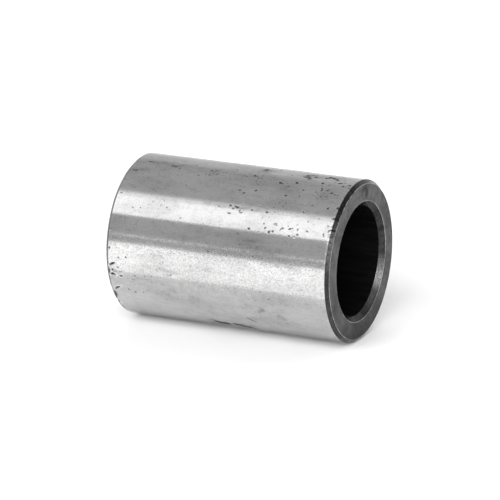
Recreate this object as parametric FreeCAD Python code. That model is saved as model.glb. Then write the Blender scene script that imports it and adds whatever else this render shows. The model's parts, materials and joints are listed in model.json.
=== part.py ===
"""Rigid sleeve coupling: one thick-walled steel sleeve, turned and ground all over.

Two shaft ends meet in its bore. The bore axis is X, the origin is on that axis at
mid-length, +Z is up and the sleeve lies on its side. Millimetres.
"""
import FreeCAD, Part
import os

# Driving dimensions
bore_diameter = 32.0    # seat for the two shaft ends
wall_thickness = 7.5    # from the bore to the ground outside
sleeve_length = 70.0    # over both end faces
outer_chamfer = 1.0     # leg of the 45 degree chamfer at the outside, both ends
bore_chamfer = 1.5      # leg of the 45 degree lead-in at the bore, both ends

# Sizes that follow
bore_radius = bore_diameter / 2
outer_radius = bore_radius + wall_thickness
end_x = sleeve_length / 2


def half_end(side):
    """Section points of one end, from the bore outwards; side is -1 or +1 along X."""
    face_x = side * end_x
    return [
        (face_x - side * bore_chamfer, bore_radius),
        (face_x, bore_radius + bore_chamfer),
        (face_x, outer_radius - outer_chamfer),
        (face_x - side * outer_chamfer, outer_radius),
    ]


def make_sleeve():
    """The wall's section, turned once round the bore axis."""
    section = half_end(-1) + half_end(+1)[::-1]
    points = [FreeCAD.Vector(x, 0, radius) for x, radius in section]
    outline = Part.makePolygon(points + points[:1])
    axis_point = FreeCAD.Vector(0, 0, 0)
    axis_direction = FreeCAD.Vector(1, 0, 0)
    return Part.Face(outline).revolve(axis_point, axis_direction, 360)


nodes = {"sleeve": make_sleeve()}

os.makedirs("parts", exist_ok=True)
for name, shape in nodes.items():
    shape.exportStep(f"parts/{name}.step")
    box = shape.BoundBox
    print(name, shape.isValid(), f"{shape.Volume:.1f} mm3", box.XLength, box.YLength, box.ZLength)
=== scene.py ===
"""Looks of the rigid sleeve coupling: ground outside, dark satin ends, black bore, rust pits and knocks.

Metres, in the CAD frame: X is the bore axis and Z is up. An angle round the sleeve is in degrees from
the top (+Z) towards the viewer's side (-Y). Places and sizes of marks are in mm.
"""
import json
import math

import bmesh
import bpy
import numpy as np
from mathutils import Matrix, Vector


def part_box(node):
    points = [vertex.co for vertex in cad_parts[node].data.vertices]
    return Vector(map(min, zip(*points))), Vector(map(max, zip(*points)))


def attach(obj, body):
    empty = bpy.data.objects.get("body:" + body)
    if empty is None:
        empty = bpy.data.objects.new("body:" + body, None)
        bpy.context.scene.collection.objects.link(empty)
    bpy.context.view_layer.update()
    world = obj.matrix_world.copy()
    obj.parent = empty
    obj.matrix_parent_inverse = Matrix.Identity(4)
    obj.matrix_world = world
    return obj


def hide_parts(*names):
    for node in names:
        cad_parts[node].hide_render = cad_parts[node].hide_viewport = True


MM = 0.001
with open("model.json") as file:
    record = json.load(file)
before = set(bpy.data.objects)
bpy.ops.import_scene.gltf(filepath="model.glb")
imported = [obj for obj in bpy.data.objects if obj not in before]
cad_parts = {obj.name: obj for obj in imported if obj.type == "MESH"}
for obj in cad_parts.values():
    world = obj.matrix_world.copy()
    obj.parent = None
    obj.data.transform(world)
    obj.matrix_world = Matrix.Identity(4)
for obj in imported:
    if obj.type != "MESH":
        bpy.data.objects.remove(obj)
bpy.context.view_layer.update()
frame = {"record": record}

# ---------------------------------------------------------------- sizes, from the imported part
low, high = (Vector(corner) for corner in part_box("sleeve"))
mounts = {mount["name"]: mount for mount in frame["record"]["mounts"]}
END_X = high.x
OUTER_R = high.z
BORE_R = mounts["bore"]["dims"]["r_mm"] * MM
BORE_CHAMFER = END_X - mounts["bore"]["dims"]["length_mm"] * MM / 2
OUTER_CHAMFER = END_X - mounts["outside_diameter"]["dims"]["length_mm"] * MM / 2
EDGE_ROUND = 0.18 * MM      # broken edges between turned surfaces
FLOOR_Z = low.z

# ---------------------------------------------------------------- surfaces of the sleeve
GROUND, CHAMFER, FACE, LEAD_IN, BORE, EDGE = range(6)
CORNER_ORDER = [CHAMFER, LEAD_IN, GROUND, BORE]     # an unworn corner takes the surface named first
AROUND = 264                # steps round the axis
GROUND_STEPS = 108          # steps along the ground outside
BORE_STEPS = 10             # steps along the bore
FACE_STEPS = 11             # steps across an end face
CHAMFER_STEPS = 3           # steps across a chamfer or a lead-in
ARC_STEPS = 3               # steps round a broken edge
SUPPORT = 0.06 * MM         # loop beside each broken edge, which keeps the flats flat
UV_BORDER = 0.003           # empty margin of the unwrap
SEAM = math.pi              # the unwrap's seam runs along the underside
ON_FACE = 0.2 * MM          # a point this close to an end is on its face


def corner_arc(before, corner, after):
    """Points of a small round at a corner, with one support point on each side."""
    back = (before - corner).normalized()
    ahead = (after - corner).normalized()
    half = back.angle(ahead) / 2
    leg = EDGE_ROUND / math.tan(half)
    middle = corner + (back + ahead).normalized() * EDGE_ROUND / math.sin(half)
    start = corner + back * leg - middle
    sweep = start.angle_signed(corner + ahead * leg - middle)
    arc = []
    for step in range(ARC_STEPS + 1):
        turn = -sweep * step / ARC_STEPS
        c, s = math.cos(turn), math.sin(turn)
        arc.append(middle + Vector((start.x * c - start.y * s, start.x * s + start.y * c)))
    return [corner + back * (leg + SUPPORT)] + arc + [corner + ahead * (leg + SUPPORT)]


def section():
    """The wall's closed section as points (x, radius), and the surface that follows each point."""
    lead, face = END_X - BORE_CHAMFER, END_X - OUTER_CHAMFER
    stretches = [           # corner, then the surface that follows it and its steps
        (lead, BORE_R, LEAD_IN, CHAMFER_STEPS),
        (END_X, BORE_R + BORE_CHAMFER, FACE, FACE_STEPS),
        (END_X, OUTER_R - OUTER_CHAMFER, CHAMFER, CHAMFER_STEPS),
        (face, OUTER_R, GROUND, GROUND_STEPS),
        (-face, OUTER_R, CHAMFER, CHAMFER_STEPS),
        (-END_X, OUTER_R - OUTER_CHAMFER, FACE, FACE_STEPS),
        (-END_X, BORE_R + BORE_CHAMFER, LEAD_IN, CHAMFER_STEPS),
        (-lead, BORE_R, BORE, BORE_STEPS),
    ]
    count = len(stretches)
    corners = [Vector((x, radius)) for x, radius, _, _ in stretches]
    rounds = [corner_arc(corners[i - 1], corners[i], corners[(i + 1) % count]) for i in range(count)]
    points, surfaces = [], []
    for i, (_, _, kind, steps) in enumerate(stretches):
        before = stretches[i - 1][2]
        # corners next to an end face take the light edge material, which also paints an edge highlight
        worn_and_highlit = FACE in (before, kind)
        corner = EDGE if worn_and_highlit else min(before, kind, key=CORNER_ORDER.index)
        points += rounds[i]
        surfaces += [before] + [corner] * ARC_STEPS + [kind] * 2
        start, stop = rounds[i][-1], rounds[(i + 1) % count][0]
        for step in range(1, steps):
            points.append(start.lerp(stop, step / steps))
            surfaces.append(kind)
    return points, surfaces


def lathe():
    """The section turned round X as a bmesh, with the surface as material index and an even unwrap."""
    points, surfaces = section()
    count = len(points)
    run = [0.0]             # length along the section up to each point
    for i in range(count):
        run.append(run[-1] + (points[(i + 1) % count] - points[i]).length)
    bm = bmesh.new()
    radius_layer = bm.verts.layers.float.new("radius")
    uv_layer = bm.loops.layers.uv.new("OFBake")
    rings = []
    for k in range(AROUND):
        angle = 2 * math.pi * k / AROUND + SEAM
        ring = []
        for x, radius in points:
            vert = bm.verts.new((x, -radius * math.sin(angle), radius * math.cos(angle)))
            vert[radius_layer] = radius
            ring.append(vert)
        rings.append(ring)
    for k in range(AROUND):
        here, there = rings[k], rings[(k + 1) % AROUND]
        for i in range(count):
            j = (i + 1) % count
            face = bm.faces.new((here[i], here[j], there[j], there[i]))
            face.material_index = surfaces[i]
            face.smooth = True
            spots = [(k, i), (k, i + 1), (k + 1, i + 1), (k + 1, i)]
            for loop, (a, b) in zip(face.loops, spots):
                u = UV_BORDER + (1 - 2 * UV_BORDER) * (AROUND - a) / AROUND
                v = UV_BORDER + (1 - 2 * UV_BORDER) * run[b] / run[-1]
                loop[uv_layer].uv = (u, v)
    bmesh.ops.recalc_face_normals(bm, faces=bm.faces)
    return bm, radius_layer


# ---------------------------------------------------------------- wear
FRONT, BACK = END_X / MM, -END_X / MM       # the two ends, as places of marks
ANY_PHASE = 6.3             # a full turn in radians
# how far out of a mark things are, where 1 is its rim
LIP_AT, LIP_WIDTH = 1.50, 0.35      # metal pushed up round a nick
DARK_TO = 1.35              # where its darkness ends
DARK_TO_LIP = 1.10          # the same where metal is pushed up round it
DARK_FADE = 0.35            # over what width the darkness fades


class Mark:
    """A pit, nick, chip or stain: the place of its middle, its half sizes, its depth and how dark it is.

    phase varies its ragged outline, tilt turns it, in degrees, burr is how high metal is pushed up round
    it, as a share of its depth, and the last argument is how bright the metal laid open by it is, which
    on the notch is also a painted glint.
    """

    def __init__(self, x, angle, half_x, half_around, depth, dark, phase=0.0, burr=0.0, tilt=0.0,
                 shine_and_glint=0.0):
        self.x = x * MM
        self.angle = math.radians(angle)
        self.half_x = half_x * MM
        self.half_around = half_around * MM
        self.depth = depth * MM
        self.dark = dark
        self.dark_to = DARK_TO_LIP if burr else DARK_TO
        self.phase = phase
        self.burr = burr
        self.tilt = math.radians(tilt)
        self.shine_and_glint = shine_and_glint

    def distance(self, x, angle, radius):
        """How far out of the mark each point is: 0 at its middle, 1 at its ragged rim."""
        turn = (angle - self.angle + math.pi) % (2 * math.pi) - math.pi
        c, s = math.cos(self.tilt), math.sin(self.tilt)
        along = ((x - self.x) * c + turn * radius * s) / self.half_x
        round_axis = (turn * radius * c - (x - self.x) * s) / self.half_around
        heading = np.arctan2(round_axis, along)
        two_lobes = 0.20 * np.sin(2 * heading + self.phase)
        three_lobes = 0.14 * np.sin(3 * heading + 2.3 * self.phase)
        return np.hypot(along, round_axis) / (1 + two_lobes + three_lobes)


def rust_pits():
    """Single pits where the light shows them best, then seeded patches of smaller ones all round."""
    # x, angle, half size
    chosen = [
        (4.1, 12.5, 0.46), (13.0, 17.5, 0.50), (17.6, 15.0, 0.50), (18.8, 4.0, 0.60),
        (19.9, 6.5, 0.55), (25.4, -1.0, 0.70), (26.8, 0.5, 0.60), (24.9, 11.0, 0.50),
        (29.8, 8.0, 0.48), (32.8, 9.5, 0.40), (18.6, 0.5, 0.50), (21.2, 2.0, 0.45),
        (24.6, 1.5, 0.50), (28.0, 3.0, 0.45), (31.3, 12.0, 0.40), (28.1, 18.0, 0.30),
        (29.5, 22.0, 0.40), (30.6, 22.8, 0.34), (16.7, 30.0, 0.36), (25.8, 35.5, 0.34),
        (30.7, 36.5, 0.38), (33.5, 35.4, 0.40), (24.0, 42.0, 0.34), (2.4, 30.2, 0.36),
        (26.0, 18.5, 0.34), (24.8, 22.8, 0.30), (23.6, 26.2, 0.26), (20.8, 29.0, 0.32),
        (20.1, 25.6, 0.26), (14.2, 26.0, 0.24), (18.3, 33.4, 0.30), (29.9, 30.6, 0.30),
        (5.6, 19.6, 0.24), (6.6, 14.6, 0.24), (4.0, 32.4, 0.36), (7.2, 28.8, 0.40),
        (1.6, 44.0, 0.36), (3.9, 45.0, 0.36), (2.7, 46.2, 0.30), (8.5, 45.6, 0.30),
        (9.1, 59.6, 0.32), (15.4, 60.0, 0.38), (16.5, 59.2, 0.30), (19.3, 56.0, 0.27),
        (24.1, 59.4, 0.30), (26.8, 56.2, 0.26), (31.9, 57.0, 0.30), (33.3, 54.0, 0.32),
        (5.2, -1.0, 0.60), (19.6, -2.0, 0.45), (-27.9, 55.2, 0.21), (-25.6, 54.6, 0.18),
        (-17.5, 52.0, 0.22), (-12.5, 58.4, 0.20), (-32.9, 45.0, 0.24), (-32.1, 23.6, 0.45),
        (-29.8, 10.6, 0.36), (-22.0, 12.6, 0.36), (-19.4, 15.4, 0.34), (-9.7, 12.6, 0.36),
        (-28.2, 91.0, 0.26), (-30.6, 92.0, 0.24), (-30.3, 106.0, 0.28), (-25.7, 104.3, 0.26),
        (-22.7, 104.0, 0.20), (-28.6, 117.2, 0.22), (-24.0, 118.5, 0.18), (-20.5, 108.0, 0.16),
    ]
    # middle x, middle angle, spread in x, spread in angle, how many
    patches = [
        (28, 20, 4, 9, 34), (20, 36, 8, 12, 26), (5, 36, 5, 9, 18), (-24, 18, 8, 8, 18),
        (14, -6, 14, 8, 22), (-5, 18, 9, 6, 20), (22, 57, 8, 3, 14), (-28, 100, 5, 8, 8),
        (0, -70, 22, 16, 22), (-18, -125, 10, 10, 12), (24, -110, 7, 12, 14),
        (10, 160, 14, 10, 10), (-20.7, 13, 1.5, 1.3, 10), (-7.0, 15.5, 3.2, 1.8, 22),
        (3.0, 14, 3.6, 2.4, 14), (26.5, 21, 1.4, 2.4, 9),
    ]
    rng = np.random.default_rng(47)
    furthest = 33.6         # from mid-length, just short of the chamfers
    depth_share = 0.28      # depth of a pit as a share of its half size
    # the larger a chosen pit, the darker it is
    pits = [(x, angle, half, min(0.5 + 1.2 * half, 1.0)) for x, angle, half in chosen]
    for x, angle, spread_x, spread_angle, count in patches:
        for _ in range(count):
            pit_x = float(np.clip(rng.normal(x, spread_x), -furthest, furthest))
            pit_angle = rng.normal(angle, spread_angle)
            half = rng.uniform(0.14, 0.32)
            dark = rng.uniform(0.60, 1.00)
            pits.append((pit_x, pit_angle, half, dark))
    marks = []
    for x, angle, half, dark in pits:
        longer = rng.uniform(0.9, 1.5)
        phase = rng.uniform(0, ANY_PHASE)
        half_x, half_around = half * longer, half / longer ** 0.5
        marks.append(Mark(x, angle, half_x, half_around, depth_share * half, dark, phase))
    return marks


def back_edge_damage():
    """Nicks just inside the back edge, dark bruises along its rim, and one notch through it."""
    nicks = [
        Mark(BACK + 2.3, 97.0, 0.95, 0.34, 0.34, 1.0, 3.1, burr=0.4, tilt=-20, shine_and_glint=0.10),
        Mark(BACK + 2.2, 105.2, 0.85, 0.40, 0.32, 1.0, 3.1, burr=0.4, tilt=20, shine_and_glint=0.22),
        Mark(BACK + 2.7, 117.0, 1.05, 0.38, 0.36, 1.0, 3.1, burr=0.4, tilt=-26, shine_and_glint=0.32),
        Mark(BACK + 4.8, 106.1, 0.30, 0.55, 0.16, 0.8, 2.6, burr=0.4, tilt=30, shine_and_glint=0.15),
    ]
    # the notch's floor is painted near white: fresh metal, and a painted glint
    notch = Mark(BACK + 0.6, 133.3, 1.60, 1.60, 0.97, dark=0.0, shine_and_glint=1.0)
    # how far in, angle, half size in x, half size round the axis, depth, how dark, phase
    bruises = [
        (0.25, 93, 0.45, 4.40, 0.04, 0.85, 2.2), (0.5, 101, 0.80, 1.30, 0.14, 1.0, 5.5),
        (0.4, 123.0, 0.95, 2.70, 0.16, 1.0, 0.8), (0.4, 143.0, 0.85, 2.00, 0.14, 1.0, 3.7),
        (0.5, 20, 0.8, 0.50, 0.20, 0.6, 0.2), (0.5, -64, 0.9, 0.60, 0.24, 0.5, 5.1),
        (0.4, -140, 0.7, 0.50, 0.20, 0.5, 4.4),
    ]
    return nicks + [notch] + [Mark(BACK + inset, *rest) for inset, *rest in bruises]


def front_edge_chips():
    """Small chips along the front chamfer."""
    # how far in, angle, half size in x, half size round the axis, depth, how dark, phase
    chips = [
        (1.1, 35.5, 0.50, 0.60, 0.20, 0.9, 0.9), (1.1, 44, 0.60, 0.50, 0.18, 0.9, 2.6),
        (0.9, 50, 0.45, 0.40, 0.14, 0.6, 3.1), (0.9, 57, 0.55, 0.60, 0.20, 0.5, 1.5),
        (1.0, 62, 0.60, 0.30, 0.14, 0.6, 4.0), (0.7, 66, 0.45, 0.40, 0.12, 0.3, 5.2),
        (0.9, 70, 0.45, 0.30, 0.10, 0.5, 0.3), (0.8, 118, 0.60, 0.70, 0.12, 0.1, 2.2),
        (0.8, -95, 0.60, 0.60, 0.14, 0.2, 3.3), (0.3, 16, 0.50, 1.00, 0.16, 0.5, 1.8),
        (1.0, 29, 0.40, 0.50, 0.12, 0.7, 0.7), (1.2, 40, 0.35, 0.30, 0.12, 0.8, 4.8),
        (0.8, 53, 0.60, 0.35, 0.16, 0.9, 2.4), (0.15, 23, 0.40, 0.45, 0.12, 0.7, 1.3),
        (0.15, 31, 0.40, 0.35, 0.12, 0.6, 3.8), (0.15, 38, 0.35, 0.60, 0.10, 0.5, 0.5),
    ]
    return [Mark(FRONT - inset, *rest) for inset, *rest in chips]


def small_knocks():
    """Seeded small dents along both outer edges."""
    rng = np.random.default_rng(70)
    per_edge = 16
    depth_share = 0.3       # depth of a dent as a share of its half size
    marks = []
    for edge, inward in ((BACK, 1), (FRONT, -1)):
        for _ in range(per_edge):
            x = edge + inward * rng.uniform(0.8, 1.1)
            half = rng.uniform(0.14, 0.34)
            angle = rng.uniform(-180, 180)
            half_around = half * rng.uniform(0.8, 1.8)
            dark = rng.uniform(0, 0.7)
            phase = rng.uniform(0, ANY_PHASE)
            marks.append(Mark(x, angle, half, half_around, depth_share * half, dark, phase))
    return marks


def gouges():
    """Dark rubbed gouges low on the viewer's side, and a slanting scratch above them."""
    # x, angle, half size in x, half size round the axis, depth, how dark, phase
    rubbed = [
        (-5.0, 142.5, 1.3, 0.45, 0.04, 0.5, 5.0), (-3.4, 145.0, 1.3, 0.60, 0.05, 0.85, 0.5),
        (-1.8, 146.6, 1.7, 0.95, 0.06, 1.0, 2.5), (2.7, 145.4, 1.4, 0.80, 0.05, 0.95, 1.2),
        (4.8, 148.2, 1.9, 0.80, 0.05, 0.9, 4.2), (6.8, 150.2, 1.4, 0.60, 0.05, 0.8, 3.1),
    ]
    scratch_steps = 6       # short marks that make up the scratch
    marks = [Mark(*row) for row in rubbed]
    for step in range(scratch_steps):
        x, angle = 7.6 + 0.40 * step, 131.4 + 0.82 * step
        marks.append(Mark(x, angle, 0.32, 0.21, 0.03, 0.8, phase=step))
    return marks


def scuffs():
    """Broad faint stains and rubbed places: no depth, only tone."""
    # x, angle, half size in x, half size round the axis, how dark, phase
    stains = [
        (-3.0, 148, 3.4, 1.9, 0.9, 0.5), (4.6, 147, 3.4, 1.7, 0.9, 2.5),
        (13.0, 119.9, 1.1, 1.05, 0.75, 3.0), (18.7, 124.7, 1.4, 1.15, 0.55, 0.1),
        (16.0, 119, 6.0, 1.6, 0.18, 1.0), (10, 133, 18.0, 4.0, 0.16, 1.0),
        (-12.6, 134, 1.0, 0.8, 0.30, 5.0), (-32.5, 102.8, 1.0, 0.8, 0.5, 0.9),
        (-17, 115, 4.0, 2.0, 0.25, 1.9), (-8, 118, 2.5, 1.6, 0.20, 3.4),
        (-25, 10, 8.0, 1.2, 0.30, 0.7), (-31, 22, 2.6, 1.6, 0.40, 2.9),
        (-28.6, 10.5, 1.6, 0.5, 0.8, 1.2), (-20.7, 13.1, 1.7, 0.9, 0.45, 3.3),
        (26, 0, 4.5, 2.6, 0.40, 2.2), (5.8, 1, 1.6, 2.0, 0.70, 1.4),
        (19.5, 1, 2.6, 1.6, 0.35, 3.6), (-9, 14, 2.6, 1.4, 0.30, 4.4),
        (16, 25, 2.2, 2.6, 0.30, 0.9), (28, 24, 3.2, 2.6, 0.25, 5.1),
        (4, 45.5, 8.0, 0.6, 0.50, 2.0), (-24, 56, 6.0, 1.0, 0.16, 0.3),
        (10, 68, 4.0, 0.9, 0.50, 4.1), (15.5, 73, 5.0, 1.1, 0.45, 1.2),
        (-2, 66, 5.0, 0.8, 0.30, 2.6), (18.5, 82, 3.6, 1.0, 0.28, 0.8),
        (24, 84, 3.6, 1.6, 0.18, 5.8), (-18.5, 88, 2.6, 2.2, 0.26, 3.9),
        (-14, 97, 4.6, 0.9, 0.28, 1.7), (-3, 92, 3.0, 0.9, 0.20, 0.4),
        (2, 101, 5.0, 0.7, 0.16, 2.8), (-11, 72, 2.4, 1.0, 0.25, 4.9),
        (-8, -100, 6.0, 3.0, 0.35, 2.7), (14, -70, 5.0, 2.0, 0.30, 1.6),
        (15, -150, 5.0, 3.0, 0.40, 0.6), (-20, 175, 6.0, 3.0, 0.35, 3.9),
        (-24, -45, 4.0, 2.4, 0.30, 3.2), (22, -35, 3.0, 1.6, 0.25, 0.2),
    ]
    return [Mark(x, angle, half_x, half_around, 0, dark, phase)
            for x, angle, half_x, half_around, dark, phase in stains]


def face_stains_and_shade(x, y, z):
    """Tone on the end faces: painted shade over the lower part of each face, an oily smudge near the top
    and faint patches.
    """
    # side, middle y and z, half sizes in y and z, how dark
    stains = [
        # the first row and the rows at (-17.5, -10) and (11, -17) darken the lower part of the front
        # face as painted shade; the first back row does the same on the back face
        (1, 1, -20.5, 12, 5.5, 0.60), (1, 1.4, 21.0, 2.3, 0.85, 0.75),
        (1, 3.4, 20.5, 0.9, 0.7, 0.8), (1, 3.4, 19.3, 0.85, 1.1, 1.0),
        (1, -2.4, 19.2, 1.2, 0.6, 0.30), (1, 11.2, 17.1, 0.8, 0.8, 0.35),
        (1, -17.5, -10, 3, 4, 0.40), (1, 11, -17, 4, 4, 0.65), (1, 19, 6, 2, 5, 0.15),
        (-1, 3, -20, 13, 5, 0.45), (-1, -12, 16, 2.0, 1.4, 0.5), (-1, 20, 2, 2.2, 6, 0.25),
        (-1, 8, 18, 1.2, 1.0, 0.5),
    ]
    stain_and_shade = np.zeros(len(x))
    for side, middle_y, middle_z, half_y, half_z, dark in stains:
        away = np.hypot((y / MM - middle_y) / half_y, (z / MM - middle_z) / half_z)
        here = x * side > END_X - ON_FACE
        stain_and_shade = np.maximum(stain_and_shade, dark * np.exp(-away ** 2) * here)
    return stain_and_shade


def ring_tones(x, angle, radius):
    """Where shafts and hands have rubbed the turned ends brighter and where dirt has stayed on them,
    together with painted highlights on the front lead-in and front chamfer, a painted reflection at the
    bottom of the front chamfer, and painted shade at the top of the front lead-in.
    """
    slack = 1.05            # takes in the points on a chamfer's own edges
    on_end = np.abs(x) > END_X - BORE_CHAMFER
    chamfer = on_end & (radius > OUTER_R - slack * OUTER_CHAMFER)
    lead_in = on_end & (radius < BORE_R + slack * BORE_CHAMFER)
    face = np.abs(x) > END_X - ON_FACE
    rubbed, dirt_and_shade = np.zeros(len(x)), np.zeros(len(x))
    # what it is, side, ring, middle angle, half width in degrees, strength
    tones = [
        # painted highlight low on the far side of the front lead-in, standing in for a lamp's glint
        (rubbed, 1, lead_in, -119.5, 13, 1.0),
        (rubbed, 1, lead_in, 90, 32, 0.15),
        (rubbed, 1, lead_in, -142, 16, 0.2),
        # the next two rows darken the top of the front lead-in: painted shade over the floor's
        # reflection there
        (dirt_and_shade, 1, lead_in, -22, 20, 0.45),
        (dirt_and_shade, 1, lead_in, 0, 8, 0.35),
        # painted highlight on the front chamfer on the viewer's side, from the same glint
        (rubbed, 1, chamfer, 64, 13, 0.45),
        (rubbed, 1, chamfer, 118, 14, 0.06),
        # brightens the bottom of the front chamfer as a painted reflection
        (rubbed, 1, chamfer, 184, 16, 0.5),
        (rubbed, 1, chamfer, -46, 20, 0.07),
        (dirt_and_shade, 1, chamfer, -130, 32, 0.3),
        (rubbed, 1, face, 88, 16, 0.06),
        (rubbed, -1, lead_in, 75, 14, 0.55),
        (rubbed, -1, lead_in, -150, 20, 0.3),
        (rubbed, -1, chamfer, -35, 14, 0.3),
        (rubbed, -1, chamfer, -130, 18, 0.25),
        (rubbed, -1, chamfer, 60, 20, 0.15),
    ]
    for tone, side, ring, middle, half, strength in tones:
        turn = (np.degrees(angle) - middle + 180) % 360 - 180
        here = ring & (x * side > 0)
        np.maximum(tone, strength * np.exp(-(turn / half) ** 2) * here, out=tone)
    return rubbed, dirt_and_shade


def refine_near(bm, marks):
    """Divides the faces under each mark four by four, so that its shape is real geometry."""
    skin = 1.5 * OUTER_CHAMFER      # how far below the outside a face may lie
    spill = 1.2                     # how far a ragged outline reaches, in half sizes
    reach = 0.45 * MM               # a further margin round each mark
    long_enough = 0.35 * MM         # shorter edges are fine enough as they are
    faces = [f for f in bm.faces if f.material_index in (GROUND, CHAMFER, EDGE)]
    middle = np.array([f.calc_center_median() for f in faces])
    outside = np.hypot(middle[:, 1], middle[:, 2]) > OUTER_R - skin
    angle = np.arctan2(-middle[:, 1], middle[:, 2])
    near = np.zeros(len(faces), bool)
    for mark in marks:
        turn = (angle - mark.angle + math.pi) % (2 * math.pi) - math.pi
        beside = np.abs(middle[:, 0] - mark.x) < spill * mark.half_x + reach
        near |= beside & (np.abs(turn) * OUTER_R < spill * mark.half_around + reach)
    chosen = [f for f, keep in zip(faces, near & outside) if keep]
    edges = {e for f in chosen for e in f.edges if e.calc_length() > long_enough}
    bmesh.ops.subdivide_edges(bm, edges=list(edges), cuts=3, use_grid_fill=True)


def sleeve_mesh():
    """The turned sleeve with its marks pressed in and its wear kept as rust, stain and rubbed values;
    the stain values also carry painted shade on the ends, and the rubbed values painted highlights and a
    painted glint.
    """
    skin = 1.2 * OUTER_CHAMFER      # how far below the outside a point may lie and still be marked
    bm, radius_layer = lathe()
    marks = rust_pits() + back_edge_damage() + front_edge_chips() + small_knocks() + gouges()
    refine_near(bm, marks)
    bm.verts.ensure_lookup_table()
    place = np.array([v.co for v in bm.verts])
    radius = np.array([v[radius_layer] for v in bm.verts])
    x, angle = place[:, 0], np.arctan2(-place[:, 1], place[:, 2])
    outside = radius > OUTER_R - skin
    depth, raised, bare_and_glint, rust, stain_and_shade = np.zeros((5, len(x)))
    for mark in marks:
        away = mark.distance(x, angle, radius)
        bowl = np.clip(1 - away ** 2, 0, 1)
        lip = np.exp(-((away - LIP_AT) / LIP_WIDTH) ** 2)
        within = np.clip((mark.dark_to - away) / DARK_FADE, 0, 1)
        depth = np.maximum(depth, mark.depth * bowl ** 1.5 * outside)
        raised = np.maximum(raised, mark.burr * mark.depth * lip * outside)
        bare_and_glint = np.maximum(bare_and_glint, mark.shine_and_glint * (lip if mark.burr else bowl) * outside)
        rust = np.maximum(rust, mark.dark * within * outside)
    for mark in scuffs():
        away = mark.distance(x, angle, radius)
        stain_and_shade = np.maximum(stain_and_shade, mark.dark * np.exp(-away ** 2) * outside)
    rubbed, dirt_and_shade = ring_tones(x, angle, radius)
    # the end faces add their smudges and the painted shade over their lower parts
    stain_and_shade = np.maximum(stain_and_shade, face_stains_and_shade(x, place[:, 1], place[:, 2]))
    # the ring dirt joins the stain values, with its painted shade at the top of the front lead-in
    stain_and_shade = np.maximum(stain_and_shade, dirt_and_shade)
    # the rubbed values take in the bright metal of the nicks and the notch's painted glint
    rubbed = np.maximum(rubbed, bare_and_glint)
    radius += raised - depth
    moved = np.stack([x, -radius * np.sin(angle), radius * np.cos(angle)], axis=1)
    mesh = bpy.data.meshes.new("steel_sleeve")
    bm.to_mesh(mesh)
    bm.free()
    mesh.vertices.foreach_set("co", moved.ravel())
    mesh.attributes.remove(mesh.attributes["radius"])
    for name, values in (("rust", rust), ("stain_and_shade", stain_and_shade), ("rubbed", rubbed)):
        attribute = mesh.attributes.new(name, "FLOAT", "POINT")
        attribute.data.foreach_set("value", values.astype(np.float32))
    mesh.update()
    return mesh


# ---------------------------------------------------------------- materials
class Nodes:
    """Short calls for building a node tree."""

    def __init__(self, tree):
        self.tree = tree

    def add(self, kind, **settings):
        node = self.tree.nodes.new(kind)
        for name, value in settings.items():
            setattr(node, name, value)
        return node

    def join(self, source, socket):
        self.tree.links.new(source, socket)

    def math(self, operation, first, second):
        """The result of an operation on two values, each a number or another node's output."""
        node = self.add("ShaderNodeMath", operation=operation)
        for socket, value in zip(node.inputs, (first, second)):
            if isinstance(value, (int, float)):
                socket.default_value = value
            else:
                self.join(value, socket)
        return node.outputs[0]

    def spread(self, value, low_in, high_in, low_out, high_out):
        """A value eased from one range to another, and held at its ends."""
        node = self.add("ShaderNodeMapRange", interpolation_type="SMOOTHSTEP")
        self.join(value, node.inputs["Value"])
        limits = ("From Min", "From Max", "To Min", "To Max")
        for name, number in zip(limits, (low_in, high_in, low_out, high_out)):
            node.inputs[name].default_value = number
        return node.outputs["Result"]


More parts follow.
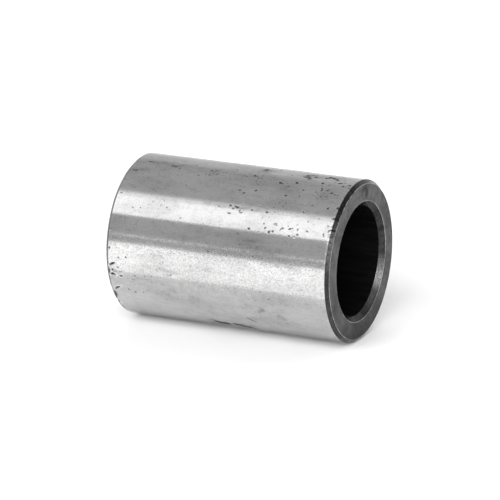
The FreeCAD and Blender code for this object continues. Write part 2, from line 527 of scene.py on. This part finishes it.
class MaterialNodes(Nodes):
    """The same for one new material, with its textures fixed to the object."""

    def __init__(self, name):
        self.material = bpy.data.materials.new(name)
        self.material.use_nodes = True
        super().__init__(self.material.node_tree)
        self.shader = self.tree.nodes["Principled BSDF"]
        self.place = self.add("ShaderNodeTexCoord").outputs["Object"]

    def set(self, name, value):
        """Gives one of the shader's own sockets a number or a plain colour."""
        self.shader.inputs[name].default_value = value

    def feed(self, name, source):
        """Joins a node's output to one of the shader's own sockets."""
        self.join(source, self.shader.inputs[name])

    def stretched(self, scale):
        """Object coordinates multiplied by scale, in features per metre along X, Y and Z."""
        node = self.add("ShaderNodeVectorMath", operation="MULTIPLY")
        self.join(self.place, node.inputs[0])
        node.inputs[1].default_value = scale
        return node.outputs[0]

    def sideways(self):
        """Distance from the upright plane through the bore axis."""
        node = self.add("ShaderNodeSeparateXYZ")
        self.join(self.place, node.inputs[0])
        return self.math("ABSOLUTE", node.outputs["Y"], 0.0)

    def noise(self, scale, detail, rough=0.55):
        node = self.add("ShaderNodeTexNoise")
        node.inputs["Scale"].default_value = 1.0
        node.inputs["Detail"].default_value = detail
        node.inputs["Roughness"].default_value = rough
        self.join(self.stretched(scale), node.inputs["Vector"])
        return node.outputs["Fac"]

    def rings(self, per_metre):
        """Noise that depends only on the distance from the bore axis: facing cuts on an end."""
        length = self.add("ShaderNodeVectorMath", operation="LENGTH")
        self.join(self.stretched((0, 1, 1)), length.inputs[0])
        node = self.add("ShaderNodeTexNoise", noise_dimensions="1D")
        node.inputs["Scale"].default_value = 1.0
        node.inputs["Detail"].default_value = 2.0
        self.join(self.math("MULTIPLY", length.outputs["Value"], per_metre), node.inputs["W"])
        return node.outputs["Fac"]

    def attribute(self, name):
        return self.add("ShaderNodeAttribute", attribute_name=name).outputs["Fac"]

    def mix(self, factor, first, second):
        """Colour from first to second; a grey is given as one number."""
        node = self.add("ShaderNodeMix", data_type="RGBA")
        self.join(factor, node.inputs["Factor"])
        for socket, value in ((node.inputs[6], first), (node.inputs[7], second)):
            if isinstance(value, (int, float)):
                socket.default_value = (value, value, value, 1)
            else:
                self.join(value, socket)
        return node.outputs[2]

    def bump(self, heights):
        """Chains bumps; each is (height, distance in metres, strength)."""
        normal = None
        for height, distance, strength in heights:
            node = self.add("ShaderNodeBump")
            node.inputs["Distance"].default_value = distance
            node.inputs["Strength"].default_value = strength
            self.join(height, node.inputs["Height"])
            if normal is not None:
                self.join(normal, node.inputs["Normal"])
            normal = node.outputs["Normal"]
        self.feed("Normal", normal)


def ground_steel():
    """Bright centreless-ground steel: fine lines round the part, cloudy smears along it, rusty pits."""
    bright, cloudy, smeared, dulled, speckled = 0.58, 0.485, 0.36, 0.33, 0.11
    stained, bare_and_glint, rusty = 0.13, 0.95, 0.018
    n = MaterialNodes("ground_steel")
    clouds = n.noise((60, 150, 150), 5, 0.6)
    smears = n.noise((420, 700, 700), 4, 0.6)
    grain = n.noise((2400, 2800, 2800), 2, 0.6)
    lines = n.noise((5200, 60, 60), 2)
    specks = n.spread(n.noise((1500, 1500, 1500), 2, 0.6), 0.62, 0.70, 0, 1)
    flank = n.spread(n.sideways(), 0.86 * OUTER_R, 0.995 * OUTER_R, 0.35, 1.0)
    tone = n.mix(n.spread(clouds, 0.38, 0.66, 0, 1), bright, cloudy)
    tone = n.mix(n.spread(smears, 0.48, 0.74, 0, 0.45), tone, smeared)
    dull = n.math("MULTIPLY", n.spread(grain, 0.46, 0.60, 0, 1), flank)
    tone = n.mix(n.math("MULTIPLY", dull, 0.50), tone, dulled)
    specks = n.math("MULTIPLY", specks, n.spread(clouds, 0.40, 0.65, 0.10, 0.75))
    tone = n.mix(specks, tone, speckled)
    stain_and_shade = n.math("MULTIPLY", n.attribute("stain_and_shade"), n.spread(smears, 0.35, 0.62, 0.45, 1.2))
    tone = n.mix(stain_and_shade, tone, stained)
    # brighter where metal is laid open at nicks, and on the notch's floor a painted glint
    tone = n.mix(n.attribute("rubbed"), tone, bare_and_glint)
    broken = n.spread(n.noise((2400, 2400, 2400), 2), 0.25, 0.55, 0.70, 1.0)
    rust = n.math("MULTIPLY", n.attribute("rust"), broken)
    tone = n.mix(rust, tone, rusty)
    n.feed("Base Color", tone)
    n.feed("Metallic", n.math("SUBTRACT", 1.0, n.math("MULTIPLY", rust, 0.7)))
    rough = n.spread(clouds, 0.3, 0.7, 0.10, 0.13)
    rough = n.math("ADD", rough, n.math("MULTIPLY", dull, 0.20))
    rough = n.math("ADD", rough, n.math("MULTIPLY", n.math("MAXIMUM", rust, stain_and_shade), 0.40))
    n.feed("Roughness", rough)
    n.bump([(grain, 0.000015, 0.30), (lines, 0.00001, 0.12)])
    n.set("Specular Tint", (0.70, 0.70, 0.70, 1))
    n.set("Specular IOR Level", 0.2)
    n.set("Anisotropic", 0.6)
    n.set("Anisotropic Rotation", 0.25)
    n.feed("Tangent", n.add("ShaderNodeTangent", direction_type="RADIAL", axis="X").outputs[0])
    return n.material


def turned_steel(name, dark, light, rough, ring_depth=0.35, sparkle=0.25, grazing=1.0, grit=0.7):
    """Dark heat-treated steel with facing rings, light rubbed patches and a little dirt; the rubbed and
    stain values also bring painted highlights and painted shade onto the front end.

    grazing is how bright it is seen edge-on, and grit how strongly dark grains show.
    """
    bare_and_glint, rusty = 0.62, 0.015
    n = MaterialNodes(name)
    patches = n.noise((240, 240, 240), 4)
    grain = n.noise((1050, 1050, 1050), 3, 0.8)
    fine = n.noise((3200, 3200, 3200), 2)
    rings = n.rings(6500)
    tone = n.mix(n.spread(patches, 0.36, 0.66, 0, 1), dark, light)
    tone = n.mix(n.spread(rings, 0.40, 0.75, 0, 0.30), tone, light * 1.3)
    tone = n.mix(n.spread(grain, 0.44, 0.66, 0, grit), tone, dark * 0.35)
    # rubbed brightens worn places and paints the highlights on the front lead-in and front chamfer
    rubbed = n.math("MULTIPLY", n.attribute("rubbed"), n.spread(fine, 0.36, 0.60, 0.35, 1.0))
    tone = n.mix(rubbed, tone, bare_and_glint)
    # darkens dirt, and on the end faces and the front lead-in painted shade
    tone = n.mix(n.attribute("stain_and_shade"), tone, dark * 0.25)
    tone = n.mix(n.attribute("rust"), tone, rusty)
    n.feed("Base Color", tone)
    n.feed("Roughness", n.spread(patches, 0.3, 0.7, rough + 0.08, rough - 0.05))
    n.bump([(rings, 0.00003, ring_depth), (fine, 0.00004, sparkle)])
    n.set("Metallic", 1.0)
    n.set("Specular Tint", (grazing, grazing, grazing, 1))
    return n.material


def bore_steel():
    """Nearly black bore: dark scale, darkened further as painted shade of the deep bore, with faint
    lengthwise marks.
    """
    n = MaterialNodes("bore_scale_and_painted_shade")
    marks = n.noise((60, 700, 700), 3)
    grain = n.noise((1800, 1800, 1800), 2)
    # base colour near black: painted shade standing in for the dark inside of the bore
    n.feed("Base Color", n.mix(n.spread(marks, 0.35, 0.70, 0, 1), 0.002, 0.005))
    n.feed("Roughness", n.spread(marks, 0.3, 0.7, 0.47, 0.40))
    n.bump([(grain, 0.00003, 0.3), (marks, 0.00002, 0.2)])
    n.set("Metallic", 0.0)
    n.set("Specular IOR Level", 0.08)
    return n.material


def make_sleeve():
    """The one piece, with its materials in the order of the surfaces."""
    piece = bpy.data.objects.new("steel_sleeve", sleeve_mesh())
    bpy.context.scene.collection.objects.link(piece)
    materials = {
        GROUND: ground_steel(),
        CHAMFER: turned_steel("chamfer_steel", 0.028, 0.052, 0.30, sparkle=0.7),
        FACE: turned_steel("end_face_steel", 0.105, 0.160, 0.40, grazing=0.55, grit=0.45),
        LEAD_IN: turned_steel("lead_in_steel", 0.026, 0.052, 0.22, sparkle=0.9, grazing=0.8),
        BORE: bore_steel(),
        # broken edges lighter than the faces: bare worn metal, and a painted edge highlight
        EDGE: turned_steel("edge_wear_and_highlight_steel", 0.34, 0.56, 0.40, ring_depth=0.1),
    }
    for surface in sorted(materials):
        piece.data.materials.append(materials[surface])
    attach(piece, "root")
    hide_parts("sleeve")


# ---------------------------------------------------------------- studio
FLOOR_HALF = 30.0
SOFTBOX_DISTANCE, SOFTBOX_LENGTH = 1.5, 5.0
CARD_WIDTH = 4.0
CARD_LIFT = 0.2 * MM        # keeps the reflector card clear of the floor
SUN_DISTANCE = 3.0


def make_floor():
    """A plain pale floor under the sleeve."""
    mesh = bpy.data.meshes.new("floor")
    around = [(-1, -1), (1, -1), (1, 1), (-1, 1)]
    corners = [(x * FLOOR_HALF, y * FLOOR_HALF, FLOOR_Z) for x, y in around]
    mesh.from_pydata(corners, [], [(0, 1, 2, 3)])
    floor = bpy.data.objects.new("floor", mesh)
    bpy.context.scene.collection.objects.link(floor)
    n = MaterialNodes("pale_floor")
    n.set("Base Color", (0.80, 0.80, 0.80, 1))
    n.set("Roughness", 0.9)
    n.set("Specular IOR Level", 0.1)
    mesh.materials.append(n.material)


def from_angle(angle):
    """Unit vector at an angle from straight up towards the viewer's side."""
    turn = math.radians(angle)
    return Vector((0, -math.sin(turn), math.cos(turn)))


def place_light(name, light, place, facing=None, diffuse=True, glossy=True):
    """Puts a light at a place, turned to shine at the sleeve or against the direction given."""
    lamp = bpy.data.objects.new(name, light)
    bpy.context.scene.collection.objects.link(lamp)
    lamp.location = place
    lamp.rotation_mode = "QUATERNION"
    lamp.rotation_quaternion = Vector(facing or place).to_track_quat("Z", "Y")
    lamp.visible_camera = False
    lamp.visible_diffuse = diffuse
    lamp.visible_glossy = glossy


def area_light(name, length, width, radiance):
    """A rectangular light with the same brightness whatever its size."""
    light = bpy.data.lights.new(name, "AREA")
    light.shape = "RECTANGLE"
    light.size = length
    light.size_y = width
    light.energy = radiance * math.pi * light.size * light.size_y
    return light


def softbox(name, angle_from, angle_to, radiance):
    """A long light parallel to the bore axis, seen only in reflections, that spans the two angles."""
    width = 2 * SOFTBOX_DISTANCE * math.tan(math.radians(angle_to - angle_from) / 2)
    light = area_light(name, SOFTBOX_LENGTH, width, radiance)
    place = from_angle((angle_from + angle_to) / 2) * SOFTBOX_DISTANCE
    place_light(name, light, place, diffuse=False)


def floor_card(name, near, far, radiance):
    """A white card on the floor, from near to far in front of the axis, seen only in reflections."""
    card = area_light(name, CARD_WIDTH, far - near, radiance)
    middle = Vector((0, -(near + far) / 2, FLOOR_Z + CARD_LIFT))
    nearly_down = Vector((0, 0.0001, -1))       # a hair off straight down, which settles its turn
    place_light(name, card, middle, facing=nearly_down, diffuse=False)


def sun(name, angle, strength, spread):
    """A soft sun from an angle, its spread in degrees, that is not seen in reflections."""
    light = bpy.data.lights.new(name, "SUN")
    light.energy = strength
    light.angle = math.radians(spread)
    place_light(name, light, from_angle(angle) * SUN_DISTANCE, glossy=False)


def make_lights():
    """Bands of light for the polished outside, and two suns for everything else."""
    softbox("overhead_softbox", 22, 50, 1.14)
    softbox("softbox_inner_edge", 16.5, 22, 0.76)
    softbox("softbox_outer_edge", 13.5, 16.5, 0.30)
    softbox("front_strip", 77, 80.5, 0.36)
    softbox("front_low_strip", 86.5, 90, 0.15)
    floor_card("front_card", 42.5 * MM, 4.0, 0.51)
    sun("front_sun", 68, 6.2, 70)
    sun("back_sun", -60, 2.0, 90)


def make_world():
    """A soft white dome for the floor, a dim grey room in reflections, and white behind the object."""
    dome, grey, white = 0.50, 0.55, 1.2
    world = bpy.data.worlds.new("studio")
    bpy.context.scene.world = world
    world.use_nodes = True
    world.cycles.sampling_method = "NONE"
    n = Nodes(world.node_tree)
    n.tree.nodes.clear()
    direction = n.add("ShaderNodeSeparateXYZ")
    n.join(n.add("ShaderNodeTexCoord").outputs["Generated"], direction.inputs[0])
    wall = n.spread(direction.outputs["Z"], 0.40, 0.62, 0.34, 0.0)
    horizon = n.spread(direction.outputs["Z"], 0.0, 0.35, 0.20, 0.0)
    behind = n.spread(direction.outputs["Y"], -0.2, 0.5, 0.0, 1.0)
    glow = n.math("MULTIPLY", n.math("ADD", wall, horizon), behind)
    room = n.math("ADD", grey, glow)
    rays = n.add("ShaderNodeLightPath")
    glossy = n.math("MULTIPLY", rays.outputs["Is Glossy Ray"], n.math("SUBTRACT", room, dome))
    strength = n.math("ADD", dome, glossy)
    seen = n.math("MULTIPLY", rays.outputs["Is Camera Ray"], n.math("SUBTRACT", white, strength))
    background = n.add("ShaderNodeBackground")
    background.inputs["Color"].default_value = (1, 1, 1, 1)
    n.join(n.math("ADD", strength, seen), background.inputs["Strength"])
    n.join(background.outputs[0], n.add("ShaderNodeOutputWorld").inputs["Surface"])


def make_camera():
    """A long lens from the front right, a little above the sleeve."""
    azimuth, elevation = math.radians(25.1), math.radians(16.6)
    distance = 1.153        # from the middle of the sleeve
    drop = 0.95 * MM        # how far below that middle the camera aims
    back = Vector((
        math.sin(azimuth) * math.cos(elevation),
        -math.cos(azimuth) * math.cos(elevation),
        math.sin(elevation),
    ))
    right = Vector((math.cos(azimuth), math.sin(azimuth), 0))
    up = back.cross(right)
    camera_data = bpy.data.cameras.new("camera")
    camera_data.lens = 288
    camera_data.sensor_width = 36
    camera_data.clip_start = 0.05
    camera_data.clip_end = 100
    camera = bpy.data.objects.new("camera", camera_data)
    bpy.context.scene.collection.objects.link(camera)
    camera.location = (low + high) / 2 - up * drop + back * distance
    camera.rotation_euler = back.to_track_quat("Z", "Y").to_euler()
    bpy.context.scene.camera = camera


make_sleeve()
make_floor()
make_lights()
make_world()
make_camera()
bpy.context.scene.view_settings.view_transform = "Standard"
